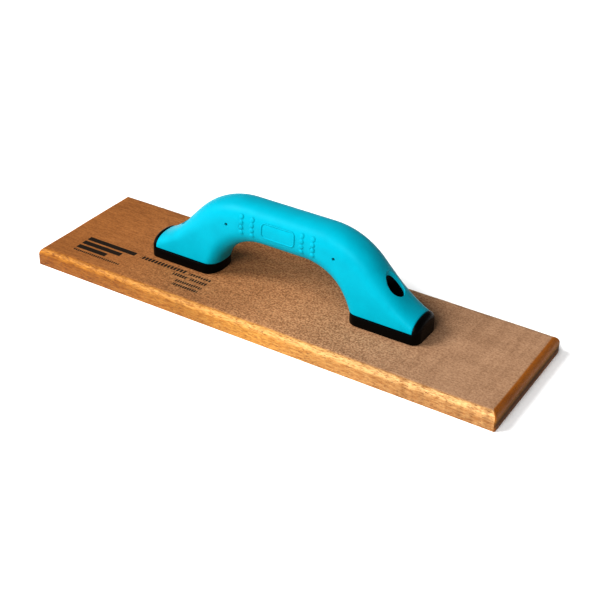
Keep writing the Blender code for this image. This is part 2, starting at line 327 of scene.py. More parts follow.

# %% [markdown]
# ## The timber's finish
#
# The board is a reddish-brown hardwood under a thin varnish. Its grain is fine and short, so from
# a step away it looks like suede: a dense speckle of lighter and darker flecks, with short dark
# pores along the fibres and slow clouds of tone. The sanded top is dull and a little greyer
# towards one end. The rounded edges keep more varnish: they look amber and glossier, and a
# highlight is painted in pale golden streaks along their crest. At the two ends, where the saw
# opened the fibres, they are darker, and painted shade darkens their upright parts towards the
# floor.
#
# Each layer is a noise. The helpers come first. One stretches the place along the fibres and
# lets them wander sideways, because no real grain is ruled straight. One picks out the darkest
# spots of a noise as flecks, and one darkens a colour where a noise is low.

# %% Grain helpers
WANDER = 4.0  # mm that a fibre strays sideways
WANDER_SIZE = 45  # mm between one stray and the next
FIBRE_TILT = math.radians(1.2)  # the fibres don't quite follow the board
FLECK_SOFTNESS = 0.08


def along_fibres(tree, length):
    """A place where a pattern comes out length times longer along X, and wanders sideways."""
    slow = grain(tree, place_in_mm(tree, (0.35, 1, 1)), WANDER_SIZE, detail=1.0)
    aside = times(tree, sum_node(tree, "SUBTRACT", slow, 0.5), WANDER)
    shift = result(tree, "ShaderNodeCombineXYZ", {"Y": aside})
    inputs = {0: place_in_mm(tree, (1 / length, 1, 1), FIBRE_TILT), 1: shift}
    return result(tree, "ShaderNodeVectorMath", inputs, operation="ADD")


def flecks(tree, length, width, threshold):
    """Short flecks along the fibres: 1 inside one and 0 outside."""
    spots = grain(tree, along_fibres(tree, length), width, detail=2.0)
    return step_between(tree, spots, threshold, threshold + FLECK_SOFTNESS)


def toned(tree, colour, share, pattern, low, high, dark):
    """The colour, darkened where the pattern is low and left alone where it is high."""
    tones = ramp(tree, pattern, [(low, display_colour(*dark)), (high, display_colour(255, 255, 255))])
    return blend_colours(tree, share, colour, tones, "MULTIPLY")


print("grain helpers ready")

# %% [markdown]
# A maker's print lies on the near left part of the top. Here it is a plain figure of three
# stripes over rows of small strokes. It is a mask inside the timber's material and not a piece of
# its own, since ink has no thickness: each mark is 1 between its limits along X and along Y.

# %% The printed marks
PRINT_SOFTNESS = 0.12  # mm over which the ink's edge fades
PRINT_STRIPES = (  # first and last x and middle y, in mm
    (-167.5, -122.5, -21.2),
    (-167.5, -131.5, -27.9),
    (-167.5, -140.5, -34.6),
)
STRIPE_HEIGHT = 4.8
STROKE_EDGE = (0.12, 0.22)  # where a stroke starts and is full, as shares of its pitch
INK_HEIGHTS = (13.0, 13.8)  # the ink fades in between these, so it stays on the top
PRINT_ROWS = (  # first and last x, middle y, height, and the pitch of the strokes
    (-167.5, -124.0, -40.2, 2.2, 1.9),
    (-117.0, -75.5, -21.6, 4.2, 2.9),
    (-72.5, -52.8, -22.0, 3.0, 2.3),
    (-83.0, -70.0, -27.9, 3.4, 2.2),
    (-67.5, -52.8, -27.9, 3.4, 2.2),
    (-76.0, -52.8, -34.5, 3.0, 2.0),
    (-75.0, -52.8, -39.6, 3.0, 2.0),
)


def between(tree, value, low, high):
    """1 where the value is between two limits, in mm."""
    rise = step_between(tree, value, low, low + PRINT_SOFTNESS)
    return times(tree, rise, step_between(tree, value, high, high - PRINT_SOFTNESS))


def box_mask(tree, x, y, first, last, middle, height):
    """1 in a box from first to last x, of a height about its middle y."""
    tall = between(tree, y, middle - height / 2, middle + height / 2)
    return times(tree, between(tree, x, first, last), tall)


def print_mask(tree):
    """1 under the ink of a stripe or a stroke, and 0 elsewhere."""
    place = add_node(tree, "ShaderNodeSeparateXYZ", {0: place_in_mm(tree)})
    x, y = place["X"], place["Y"]
    marks = [box_mask(tree, x, y, *stripe, STRIPE_HEIGHT) for stripe in PRINT_STRIPES]
    for *area, pitch in PRINT_ROWS:
        strokes = sum_node(tree, "PINGPONG", x, pitch / 2)
        inked = step_between(tree, strokes, *(pitch * share for share in STROKE_EDGE))
        marks.append(times(tree, box_mask(tree, x, y, *area), inked))
    total = marks[0]
    for mark in marks[1:]:
        total = sum_node(tree, "MAXIMUM", total, mark)
    return times(tree, total, step_between(tree, place["Z"], *INK_HEIGHTS))


print(len(PRINT_STRIPES), "stripes and", len(PRINT_ROWS), "rows of strokes")

# %% [markdown]
# Masks come before colours. The surface's own direction says where a spot lies: on the flat top,
# on a rounded edge, on an end, or on the upright part of an end, where the saw marks are.

# %% The timber's patterns and tones
GRAINS = (  # length along the fibres, size across in mm, detail, roughness
    (3, 26, 3.0, 0.55),  # slow clouds of tone
    (10, 0.8, 3.0, 0.6),  # fibres
    (1.1, 1.3, 3.0, 0.6),  # speckle
    (4.5, 1.2, 4.0, 0.7),  # streaks of varnish
)
PORES = (7, 0.45, 0.59)  # length, width in mm, and the darkest spots that count as pores
FIGURE_STRETCH = (1, 0.12, 0.12)  # faint bands across the board
EDGE_TILT = (0.995, 0.9)  # the surface's upward share where a rounding begins, and where it is full
UPRIGHT_TILT = (0.3, 0.02)
END_TILT = (0.1, 0.35)
PAINTED_HIGHLIGHT_TILT = ((0.98, 0.82), (0.05, 0.6))  # the crest of a rounding, where a highlight is painted, from the top and from the side
WEATHERED = (-190.0, 150.0)  # x from which, and by which, the board has greyed, in mm
FIGURED = (60.0, 140.0)
BUSY = (150.0, 60.0)  # the speckle grows from the first distance to the second
SAWN_SHADE_HEIGHTS = (9.0, 4.0)  # heights between which painted shade darkens a sawn end towards the floor

TOP_TONES = ((0.0, (174, 116, 64)), (0.62, (206, 155, 112)), (1.0, (182, 146, 116)))
EDGE_TONES = ((0.0, (162, 106, 46)), (0.6, (206, 156, 80)), (1.0, (190, 148, 98)))
SAWN_TONE_AND_SHADE = ((160, 110, 50), (66, 38, 10))  # the sawn end's tone up high, and the painted shade low down
# painted highlight on the crests: its tone at the left end and at the right end
CREST_HIGHLIGHT_TONES = ((188, 128, 46), (226, 186, 130))
END_TONE = (166, 100, 32)
PORE_TONE = (84, 42, 22)
INK_TONE = (16, 15, 14)
VARNISH_TINT = (1.0, 0.78, 0.5, 1.0)
RELIEF = 0.2 * MM
print("the timber has", len(GRAINS), "grains, and pores")

# %% Build the timber
def build_timber():
    finish, tree, shader = new_finish("varnished_hardwood")
    place = add_node(tree, "ShaderNodeSeparateXYZ", {0: place_in_mm(tree)})
    facing = add_node(tree, "ShaderNodeNewGeometry")["Normal"]
    facing = add_node(tree, "ShaderNodeSeparateXYZ", {0: facing})
    upward = sum_node(tree, "ABSOLUTE", facing["Z"])
    on_edge = step_between(tree, upward, *EDGE_TILT)
    on_end = step_between(tree, sum_node(tree, "ABSOLUTE", facing["X"]), *END_TILT)
    on_side = sum_node(tree, "SUBTRACT", on_edge, on_end)
    on_sawn_end = times(tree, on_end, step_between(tree, upward, *UPRIGHT_TILT))
    weathered = step_between(tree, place["X"], *WEATHERED)

    clouds, fibres, speckle, streaks = (
        grain(tree, along_fibres(tree, length), *look) for length, *look in GRAINS
    )
    pores = flecks(tree, *PORES)
    figure = grain(tree, place_in_mm(tree, FIGURE_STRETCH), 7, detail=2.0)

    top, edge = (tone_ramp(tree, weathered, tones) for tones in (TOP_TONES, EDGE_TONES))
    colour = blend_colours(tree, on_edge, top, edge)
    colour = blend_colours(tree, on_end, colour, base_colour(*END_TONE))
    # Painted shade: the upright part of each end turns dark towards the floor.
    sawn_tone_with_shade = two_tones(tree, step_between(tree, place["Z"], *SAWN_SHADE_HEIGHTS), *SAWN_TONE_AND_SHADE)
    colour = blend_colours(tree, on_sawn_end, colour, sawn_tone_with_shade)

    busy = step_between(tree, sum_node(tree, "ABSOLUTE", place["X"]), *BUSY)
    speckled = times(tree, weighted(tree, 0.4, (busy, 0.5)), sum_node(tree, "SUBTRACT", 1.0, on_edge))
    for share, pattern, low, high, dark in (
        (1.0, clouds, 0.3, 0.7, (226, 222, 218)),
        (speckled, speckle, 0.38, 0.6, (176, 164, 154)),
        (weighted(tree, 0.75, (weathered, -0.45)), fibres, 0.35, 0.6, (208, 196, 184)),
        (times(tree, on_side, 0.9, clamp=True), streaks, 0.32, 0.62, (208, 178, 148)),
    ):
        colour = toned(tree, colour, share, pattern, low, high, dark)

    # Painted highlight: pale golden streaks along the crest of each rounding, kept off the ends.
    from_top, from_side = (step_between(tree, facing["Z"], *tilt) for tilt in PAINTED_HIGHLIGHT_TILT)
    painted_highlight = times(tree, times(tree, from_top, from_side), step_between(tree, streaks, 0.25, 0.7))
    painted_highlight = times(tree, painted_highlight, sum_node(tree, "SUBTRACT", 0.8, on_end), clamp=True)
    colour = blend_colours(tree, painted_highlight, colour, two_tones(tree, weathered, *CREST_HIGHLIGHT_TONES))
    figured = times(tree, step_between(tree, place["X"], *FIGURED), weighted(tree, 0.3, (on_edge, 0.4)))
    colour = toned(tree, colour, figured, figure, 0.36, 0.56, (206, 196, 188))
    pored = times(tree, pores, weighted(tree, 0.3, (on_edge, 0.45)))
    colour = blend_colours(tree, pored, colour, display_colour(*PORE_TONE))
    worn = step_between(tree, speckle, 0.3, 0.42)
    inked = times(tree, print_mask(tree), weighted(tree, 0.88, (worn, 0.1)))
    colour = blend_colours(tree, inked, colour, display_colour(*INK_TONE))

    rough = weighted(tree, 0.56, (on_edge, -0.2), (on_sawn_end, 0.3), (speckle, 0.2))
    relief = weighted(tree, 0.0, (fibres, 0.5), (speckle, 0.7), (pores, -0.5))
    fill(tree, shader, {
        "Base Color": colour, "Roughness": rough, "Normal": bump(tree, relief, RELIEF, 0.7),
        "Specular Tint": VARNISH_TINT, "Specular IOR Level": 0.2,
    })
    return finish


timber = build_timber()
print("finish:", timber.name)

# %% [markdown]
# ## The board
#
# A router has rounded the four top edges, and sandpaper has finished them by hand. A cube with a
# Bevel modifier gives the shape, but its edges are ruler straight. Here the board is a stack of
# rings, each one the outline of the board drawn in by a little. Slow noise moves the upper rings
# by a fraction of a millimetre, which gives the edge that a hand leaves.

# %% Build the board
ROUND_INSET = 5.6 * MM  # how far the rounding reaches in over the top
ROUND_DROP = 5.5 * MM  # and how far down the side
ARRIS = 0.5 * MM
CORNER = 1.2 * MM
HAND_WOBBLE = 0.35 * MM
WOBBLE_LENGTH = 22 * MM
WOBBLE_BIAS = 0.3  # the hand takes off more than it leaves
PILOT_RADIUS = 2.9 * MM
PILOT_FLOOR = 2 * MM


def outline(inset, height, wobble=0.0, long_steps=150, short_steps=44, corner_steps=5):
    """The board's outline drawn in by inset, with corners that stay a little round."""
    reach = Vector((blade_high.x - inset - CORNER, blade_high.y - inset - CORNER))
    sides = (
        ((1, 1), (-1, 1), long_steps),
        ((-1, 1), (-1, -1), short_steps),
        ((-1, -1), (1, -1), long_steps),
        ((1, -1), (1, 1), short_steps),
    )
    points = []
    for index, (start, end, steps) in enumerate(sides):
        first, last = reach * Vector(start), reach * Vector(end)
        outward = Vector((math.cos(QUARTER * (index + 1)), math.sin(QUARTER * (index + 1))))
        for i in range(steps + 1):
            spot = first.lerp(last, i / steps)
            drift = noise.noise(Vector((spot.x, spot.y, 0)) / WOBBLE_LENGTH) - WOBBLE_BIAS
            points.append(spot + outward * (CORNER + wobble * drift))
        for i in range(1, corner_steps):
            turn = QUARTER * (index + 1 + i / corner_steps)
            points.append(last + CORNER * Vector((math.cos(turn), math.sin(turn))))
    return [Vector((p.x, p.y, height)) for p in points]


def build_board():
    quarter = sweep(QUARTER, 14)
    rings = [outline(ARRIS * (1 - math.sin(a)), ARRIS * (1 - math.cos(a))) for a in quarter[::4]]
    side_top = BLADE_TOP - ROUND_DROP
    rings.append(outline(0, side_top))
    for a in quarter[1:]:
        inset, height = ROUND_INSET * (1 - math.cos(a)), side_top + ROUND_DROP * math.sin(a)
        rings.append(outline(inset, height, HAND_WOBBLE * math.sin(a)))
    rings.append(outline(ROUND_INSET + 0.6 * MM, BLADE_TOP))
    board = piece_from("board", loft(rings), timber)
    over = BLADE_TOP + MM
    depths = ((0, PILOT_FLOOR), (PILOT_RADIUS, PILOT_FLOOR), (PILOT_RADIUS, over), (0, over))
    pilots = []
    for side in (-1, 1):
        rings = [circle(max(r, 0.001 * MM), z, 32, side * SCREW_X) for r, z in depths]
        pilots.append(piece_from(f"pilot_{side}", loft(rings, closed=False)))
    combine(board, pilots, "DIFFERENCE")
    return board


board = build_board()
print("board:", len(board.data.polygons), "faces")

# %% [markdown]
# ## The handle's outline
#
# Seen from the side, the handle has an upper line and a lower line. The upper line is level over
# the bar, turns down round a shoulder, runs down a slope and flares out to the heel. The lower
# line is level, and then an arch down to the toe. Arcs and one short curve describe both. Half
# of each is enough, because the handle is the same end for end.

# %% Upper and lower line
def along(points, share):
    """The point at a share of the length of a polyline."""
    lengths = [(b - a).length for a, b in zip(points, points[1:])]
    left = share * sum(lengths)
    for a, b, length in zip(points, points[1:], lengths):
        if left <= length:
            return a.lerp(b, left / length)
        left -= length
    return points[-1].copy()


def top_outline(steps=60):
    """The upper line at +X: a level bar, a round shoulder, a slope and a flare."""
    centre = Vector((SHOULDER_START, GRIP_TOP - SHOULDER_RADIUS))
    shoulder = [
        centre + SHOULDER_RADIUS * Vector((math.sin(a), math.cos(a))) for a in sweep(SHOULDER_TURN, steps)
    ]
    end = shoulder[-1]
    fall = math.tan(SHOULDER_TURN)
    flare_top = Vector((FLARE_START, end.y - (FLARE_START - end.x) * fall))
    heel = Vector((COLLAR_PLANE, HEEL_TOP))
    run = (flare_top.y - heel.y - FLARE_END_SLOPE * (heel.x - flare_top.x)) / (fall - FLARE_END_SLOPE)
    control = flare_top + Vector((run, -fall * run))
    flare = [flare_top.lerp(control, t).lerp(control.lerp(heel, t), t) for t in sweep(1, steps)]
    return [Vector((0, GRIP_TOP)), *shoulder, *flare]


def arch_outline(steps=60):
    """The lower line at +X: a level underside and a round arch down to the foot."""
    end_turn = math.acos(1 - (GRIP_UNDERSIDE - SKIRT_HEIGHT) / ARCH_RADIUS)
    centre = Vector((ARCH_START, GRIP_UNDERSIDE - ARCH_RADIUS))
    return [Vector((0, GRIP_UNDERSIDE))] + [
        centre + ARCH_RADIUS * Vector((math.sin(a), math.cos(a))) for a in sweep(end_turn, steps)
    ]


TOP_LINE = top_outline()
ARCH_LINE = arch_outline()
print(f"the arch leaves {(GRIP_UNDERSIDE - BLADE_TOP) / MM:.0f} mm for the fingers")

# %% [markdown]
# ## The handle's rings
#
# Over the bar, a ring is an upright rounded section. Near the foot it has to become the flat plan
# that sits on the black foot: a heel arch at the outer end, a straight skirt and a round toe. Each
# ring is made of two round corners and a flank. The corners start on the upper and on the lower
# line, and head into the material. On the way to the foot, their headings turn: the upper corner
# ends up heading straight down, and the lower one straight out. That is all the change needs.

# %% Rings
def ease(value, low, high):
    """0 below low, 1 above high, and a smooth step between them."""
    t = min(max((value - low) / (high - low), 0.0), 1.0)
    return t * t * (3 - 2 * t)


def inward(points, share, turn, span=0.01):
    """The unit normal of a polyline at a share of its length, turned into the material."""
    tangent = along(points, min(share + span, 1.0)) - along(points, max(share - span, 0.0))
    return Vector((-tangent.y, tangent.x)).normalized() * turn


def half_ring(share, inset, arc_steps, side_steps):
    """Half a section, from the upper line round the +Y flank to the lower line."""
    foot = ease(share, TURN_TO_FOOT, 1.0)
    into_top = inward(TOP_LINE, share, -1).lerp(Vector((0, -1)), foot).normalized()
    into_arch = inward(ARCH_LINE, share, 1).lerp(Vector((1, 0)), foot).normalized()
    half_width = GRIP_HALF_WIDTH - inset
    power = 2 / SQUARENESS

    def corner(start, into, foot_rounding):
        reach = BAR_ROUNDING + (foot_rounding - BAR_ROUNDING) * foot - inset
        return [
            (start + into * (inset + reach * (1 - math.cos(a) ** power)), half_width * math.sin(a) ** power)
            for a in sweep(QUARTER, arc_steps)
        ]

    upper = corner(along(TOP_LINE, share), into_top, HEEL_ROUNDING)
    lower = corner(along(ARCH_LINE, share), into_arch, TOE_ROUNDING)
    flank = [(upper[-1][0].lerp(lower[-1][0], i / side_steps), half_width) for i in range(1, side_steps)]
    return [Vector((p.x, y, p.y)) for p, y in [*upper, *flank, *reversed(lower)]]


def closed_ring(half):
    """The half ring with its mirror image across the handle's middle plane."""
    return half + [Vector((p.x, -p.y, p.z)) for p in reversed(half[1:-1])]


def handle_rings(inset=0.0, reach=0.0, stations=70, arc_steps=16, side_steps=8, lip=()):
    """Rings from the left foot to the right foot. reach carries the end rings into the feet.

    lip is a row of (share, inset) that rounds the ends in place of the last station.
    """
    plain = [(i / stations, inset) for i in range(stations + 1)]
    places = [*plain[:-1], *lip] if lip else plain
    halves = [half_ring(share, drawn_in, arc_steps, side_steps) for share, drawn_in in places]
    if reach:
        outwards, down = Vector((reach, 0, 0)), Vector((0, 0, -reach))
        heel = [p + outwards for p in halves[-1][:arc_steps]]
        heel_corner = halves[-1][arc_steps] + outwards + down
        skirt = [p + down for p in halves[-1][arc_steps + 1 :]]
        halves.append([*heel, heel_corner, *skirt])
    right = [closed_ring(half) for half in halves]
    left = [[Vector((-p.x, p.y, p.z)) for p in ring] for ring in reversed(right[1:])]
    return left + right


print("a ring has", len(closed_ring(half_ring(0, 0, 16, 8))), "points")

# %% [markdown]
# ## The soft grip's finish
#
# The grip is a rubbery plastic, coloured all through and moulded against a finely blasted steel
# mould. It has a broad soft highlight and no sharp reflections. A very fine bump breaks up the
# highlight, a slow one keeps long surfaces from looking machined, and a little dust in the tone
# stops the colour from being flat.

# %% Build the rubber and the hard plastic
RUBBER_TONES = ((0.3, (0, 152, 171)), (0.7, (0, 159, 178)))
RUBBER_TINT = (0.25, 0.95, 1.0, 1.0)  # the highlight keeps the colour of the rubber
BLACK, SCUFFED_BLACK = (2, 2, 2), (8, 7, 6)
BLAST_DEPTH = 0.05 * MM
RIPPLE_DEPTH = 0.25 * MM


def build_rubber():
    finish, tree, shader = new_finish("cyan_soft_grip")
    place = place_in_mm(tree)
    blast = grain(tree, place, 0.9, detail=4.0, roughness=0.7)
    colour = tone_ramp(tree, grain(tree, place, 14), RUBBER_TONES)
    fine = bump(tree, blast, BLAST_DEPTH, 0.6)
    slow = bump(tree, grain(tree, place, 9, detail=1.0), RIPPLE_DEPTH, 0.35, over=fine)
    fill(tree, shader, {
        "Base Color": colour, "Roughness": weighted(tree, 0.3, (blast, 0.2)), "Normal": slow,
        "Specular Tint": RUBBER_TINT, "Specular IOR Level": 0.1,
    })
    return finish


def build_hard_plastic():
    finish, tree, shader = new_finish("black_hard_plastic")
    blast = bump(tree, grain(tree, place_in_mm(tree), 0.5), BLAST_DEPTH, 0.5)
    scuff = step_between(tree, grain(tree, place_in_mm(tree, (1, 0.3, 2)), 5, detail=5.0), 0.58, 0.75)
    plain, scuffed = display_colour(*BLACK), display_colour(*SCUFFED_BLACK)
    colour = blend_colours(tree, times(tree, scuff, 0.5), plain, scuffed)
    fill(tree, shader, {
        "Base Color": colour, "Roughness": weighted(tree, 0.34, (scuff, 0.2)), "Normal": blast,
        "Specular IOR Level": 0.07,
    })
    return finish


rubber = build_rubber()
hard_plastic = build_hard_plastic()
print("finishes:", rubber.name, hard_plastic.name)

# %% [markdown]
# ## The soft grip
#
# The grip is a skin of even thickness, open at both feet. One loft makes its outside, a second
# one drawn in by the skin's thickness makes its inside, and two strips close it at the feet.
#
# The bores over the screws leave the surface on a slope, and the rubber has a rounded lip there.
# A plain cylinder would cut a knife edge. So the cutter follows the surface: straight rays down
# onto the grip find its height all round the bore, and the cutter widens like a trumpet just
# below that height. What it cuts is the hole and its lip at once. The grip's two ends get their
# lip from four rings close together, each drawn in a little more than the one before.

# %% Build the grip
LIP = 0.9 * MM
ACCESS_RADIUS = 6.7 * MM
ACCESS_FLOOR = SEAT_HEIGHT + 8 * MM
TRUMPET_OPENING = math.radians(72)  # how far the lip turns before it meets the surface
PIN_X = 44.4 * MM
PIN_HEIGHT = 61.2 * MM
PIN_PROFILE = [  # radius and distance out from the middle
    (radius * MM, out * MM) for radius, out in ((0.86, 10), (1.0, 14.2), (1.25, 14.9), (1.6, 16))
]
END_LIP = ((0.9955, 0.0), (0.9975, 0.07 * MM), (0.9992, 0.22 * MM), (1.0, 0.5 * MM))  # share, inset


def surface_of(piece):
    """A search tree of the piece's faces, to cast rays against."""
    bm = bmesh.new()
    bm.from_mesh(piece.data)
    found = BVHTree.FromBMesh(bm)
    bm.free()
    return found


def trumpet(name, surface, centre_x, steps=72):
    """A post that stands at centre_x and widens where it leaves the surface above it."""
    spokes = [Vector((math.cos(t), math.sin(t), 0)) for t in sweep(math.tau, steps)[:-1]]
    heights = []
    for spoke in spokes:
        start = Vector((centre_x, 0, GRIP_TOP + MM)) + spoke * (ACCESS_RADIUS + LIP)
        heights.append(surface.ray_cast(start, Vector((0, 0, -1)))[0].z)
    rings = [[Vector((centre_x, 0, ACCESS_FLOOR)) + spoke * ACCESS_RADIUS for spoke in spokes]]
    for a in sweep(TRUMPET_OPENING, 7):
        out = ACCESS_RADIUS + LIP * (1 - math.cos(a))
        rings.append([
            Vector((centre_x, 0, height - LIP * (1 - math.sin(a)))) + spoke * out
            for spoke, height in zip(spokes, heights)
        ])
    flare = [LIP * (0.4 * spoke + Vector((0, 0, 0.3))) for spoke in spokes]
    rings.append([p + step for p, step in zip(rings[-1], flare)])
    rings.append([Vector((p.x, p.y, GRIP_TOP + 5 * MM)) for p in rings[-1]])
    return piece_from(name, loft(rings))


def flank_peg(name, profile, side_x, side_y, steps):
    """A round peg through one flank of the bar, from (radius, distance out) points."""
    bm = loft([circle(r, z, steps) for r, z in profile])
    lay_down = Matrix.Rotation(-side_y * QUARTER, 4, "X")
    place = Matrix.Translation((side_x * PIN_X, 0, PIN_HEIGHT)) @ lay_down
    bmesh.ops.transform(bm, matrix=place, verts=bm.verts)
    return piece_from(f"{name}_{side_x}_{side_y}", bm)


def flank_pegs(name, profile, steps):
    """Four pegs, two through each flank."""
    return [flank_peg(name, profile, x, y, steps) for x in (-1, 1) for y in (-1, 1)]


def build_grip():
    outside_rings = handle_rings(lip=END_LIP)
    plain = piece_from("plain_skin", loft(outside_rings, closed=False))
    surface = surface_of(plain)
    bpy.data.objects.remove(plain)

    bm = bmesh.new()
    outside = skin_between(bm, outside_rings)
    inside = skin_between(bm, handle_rings(inset=SKIN))
    for outer, inner in ((outside[0], inside[0]), (outside[-1], inside[-1])):
        for i in range(len(outer)):
            j = (i + 1) % len(outer)
            bm.faces.new((outer[i], outer[j], inner[j], inner[i]))
    grip = piece_from("soft_skin", bm, rubber)
    bores = [trumpet(f"bore_{side}", surface, side * SCREW_X) for side in (-1, 1)]
    pins = flank_pegs("pin", PIN_PROFILE, 24)
    combine(grip, [*bores, *pins], "DIFFERENCE")
    return grip


grip = build_grip()
print("grip:", len(grip.data.polygons), "faces")

# %% [markdown]
# ## The hard core
#
# The black moulding is one piece: two feet, and a bar between them that the grip hides. A foot is
# lofted lengthwise, from its round toe to its heel. Under the grip its top is flat. At the heel
# it rises into an arch that closes the end of the grip, with a softly rounded rim. Four short
# studs of the same plastic fill the pin holes of the grip, and show as black dots.

# %% Build the core
EDGE = 0.5 * MM  # rounding of the moulding's edges
HEEL_CORNER = 7 * MM
HEEL_CROWN = 5 * MM
HEEL_PROUD = 0.1 * MM
BORE_RADIUS = 6.0 * MM
CLEARANCE_RADIUS = 2.9 * MM
FOOT_TOE = 55.3 * MM
POCKETS = ((60 * MM, 77 * MM), (95 * MM, 109 * MM))
POCKET_WIDTH = 24 * MM
POCKET_DEPTH = 5 * MM
POCKET_ROUNDING = 1.5 * MM
STUD_RADIUS = 0.85 * MM
STUD_TOP = 14.2 * MM  # a stud ends a little below the grip's flank
STUD_PROFILE = (  # radius and distance out from the middle
    (STUD_RADIUS, 10.5 * MM), (STUD_RADIUS, STUD_TOP - 0.2 * MM), (0.75 * STUD_RADIUS, STUD_TOP),
)
FLAT = 7.0  # squareness of a section with a flat top
BAR_REACH = 1.2 * MM  # how far the bar runs on into the feet
FOOT_BASE = BLADE_TOP + GAP
PLATE_TOP = SKIRT_HEIGHT - GAP


def foot_half_width(x):
    """Half the foot's width at a place along it: a round toe, straight sides, round heel corners."""
    if x < FOOT_TOE + TOE_ROUNDING:
        left = 1 - (x - FOOT_TOE) / TOE_ROUNDING
        return FOOT_HALF_WIDTH * max(1 - left**SQUARENESS, 0.0) ** (1 / SQUARENESS)
    into_corner = max(x - (FOOT_HEEL - HEEL_CORNER), 0.0)
    return FOOT_HALF_WIDTH - HEEL_CORNER + math.sqrt(max(HEEL_CORNER**2 - into_corner**2, 0.0))


def foot_section(side, x, lift=0.0, squareness=FLAT, drop=0.0):
    """One section across the foot: rounded lower edges, upright sides and an arched top."""
    half_width = foot_half_width(x)
    power = 2 / squareness
    shoulder = PLATE_TOP - EDGE - drop
    low_edge = min(EDGE, half_width)
    low = [(half_width - low_edge * (1 - math.sin(a)), FOOT_BASE + EDGE * (1 - math.cos(a)))
           for a in sweep(QUARTER, 3)]
    arch = [(half_width * math.cos(a) ** power, shoulder + (lift + EDGE) * math.sin(a) ** power)
            for a in sweep(QUARTER, 16)]
    half = [Vector((side * x, y, z)) for y, z in low + arch]
    return half + [Vector((p.x, -p.y, p.z)) for p in reversed(half[:-1])]


def build_foot(side):
    """One foot, lofted from the toe to the heel."""
    rings = []
    for a in sweep(QUARTER, 16):
        x = FOOT_TOE + TOE_ROUNDING * (1 - math.cos(a))
        into_edge = min((x - FOOT_TOE) / EDGE, 1.0)
        drop = EDGE * 0.9 * (1 - math.sqrt(max(1 - (1 - into_edge) ** 2, 0.0)))
        rings.append(foot_section(side, x, drop=drop))
    heel_start = COLLAR_PLANE + GAP
    rings += [foot_section(side, x) for x in (90 * MM, heel_start)]
    full = HEEL_TOP + HEEL_PROUD - PLATE_TOP
    for a in sweep(QUARTER, 5):
        x = heel_start + EDGE * (1 - math.cos(a))
        rings.append(foot_section(side, x, full - EDGE * (1 - math.sin(a)), SQUARENESS))
    for a in sweep(QUARTER, 18)[1:]:
        x = heel_start + EDGE + (FOOT_HEEL - heel_start - EDGE) * math.sin(a)
        rings.append(foot_section(side, x, full - HEEL_CROWN * (1 - math.cos(a)), SQUARENESS))
    bm = bmesh.new()
    placed = skin_between(bm, rings)
    bm.faces.new(placed[-1])
    return piece_from(f"foot_{side}", bm)


def core_hollows():
    """A stepped bore over each screw, and two pockets under each foot."""
    profile = (
        (CLEARANCE_RADIUS, FOOT_BASE - MM),
        (CLEARANCE_RADIUS, SEAT_HEIGHT),
        (BORE_RADIUS, SEAT_HEIGHT),
        (BORE_RADIUS, GRIP_TOP),
    )
    hollows = []
    for side in (-1, 1):
        rings = [circle(r, z, 64, side * SCREW_X) for r, z in profile]
        hollows.append(piece_from(f"hollow_{side}", loft(rings)))
        for number, (low, high) in enumerate(POCKETS):
            bm = bmesh.new()
            size = Matrix.Diagonal((high - low, POCKET_WIDTH, 2 * POCKET_DEPTH, 1))
            middle = Matrix.Translation((side * (low + high) / 2, 0, FOOT_BASE))
            bmesh.ops.create_cube(bm, size=1, matrix=middle @ size)
            bmesh.ops.bevel(
                bm, geom=bm.edges, offset=POCKET_ROUNDING, segments=3, profile=0.5, affect="EDGES"
            )
            hollows.append(piece_from(f"pocket_{side}_{number}", bm))
    return hollows


def build_core():
    bm = bmesh.new()
    placed = skin_between(bm, handle_rings(SKIN + GAP, BAR_REACH, stations=40, arc_steps=8, side_steps=4))
    close_across(bm, placed[0])
    close_across(bm, placed[-1])
    core = piece_from("core_moulding", bm, hard_plastic)
    studs = flank_pegs("stud", STUD_PROFILE, 16)
    combine(core, [build_foot(-1), build_foot(1), *studs], "UNION")
    combine(core, core_hollows(), "DIFFERENCE")
    return core


core = build_core()
print("core:", len(core.data.polygons), "faces")

# %% [markdown]
# ## Raised marks on the grip
#
# The front of the bar carries moulded marks: two columns of dots on each side, for the fingers to
# find, and a plain raised panel between them. They repeat and they follow a surface, which is
# what Geometry Nodes are for. The tree lays out a grid of points in front of the grip, casts a ray
# from each one onto the rubber, and stands a small dome where it lands, square to the surface.

# %% A tree for the dots
DOT_RADIUS = 1.9 * MM
DOT_HEIGHT = 0.8 * MM
DOT_FOOT = DOT_RADIUS * 1.15
DOT_SINK = 0.6 * MM
DOT_MIDDLES = (("left", -27 * MM), ("right", 23 * MM))
BAR_MIDDLE = (GRIP_TOP + GRIP_UNDERSIDE) / 2
MARKS_FRONT = -30 * MM  # the rays start here, in front of the grip
PANEL_CENTRE = (-1 * MM, MARKS_FRONT, BAR_MIDDLE + 1.6 * MM)


def new_tree(name, **sizes):
    """A Geometry Nodes tree with a geometry input and output, and a named input for each size."""
    tree = bpy.data.node_groups.new(name, "GeometryNodeTree")
    tree.interface.new_socket("Geometry", in_out="INPUT", socket_type="NodeSocketGeometry")
    for label, (kind, value) in sizes.items():
        socket = tree.interface.new_socket(label, in_out="INPUT", socket_type=kind)
        if value is not None:
            socket.default_value = value
    tree.interface.new_socket("Geometry", in_out="OUTPUT", socket_type="NodeSocketGeometry")
    return tree, tree.nodes.new("NodeGroupInput").outputs, tree.nodes.new("NodeGroupOutput")


def run_tree(name, tree, values):
    """Runs a tree on an empty mesh and returns the piece that it makes, as plain mesh."""
    piece = bpy.data.objects.new(name, bpy.data.meshes.new(name))
    bpy.context.scene.collection.objects.link(piece)
    step = piece.modifiers.new(tree.name, "NODES")
    step.node_group = tree
    for item in tree.interface.items_tree:
        if item.in_out == "INPUT" and item.name in values:
            step[item.identifier] = values[item.name]
    settle(piece)
    print(name, "has", len(piece.data.polygons), "faces")
    return piece


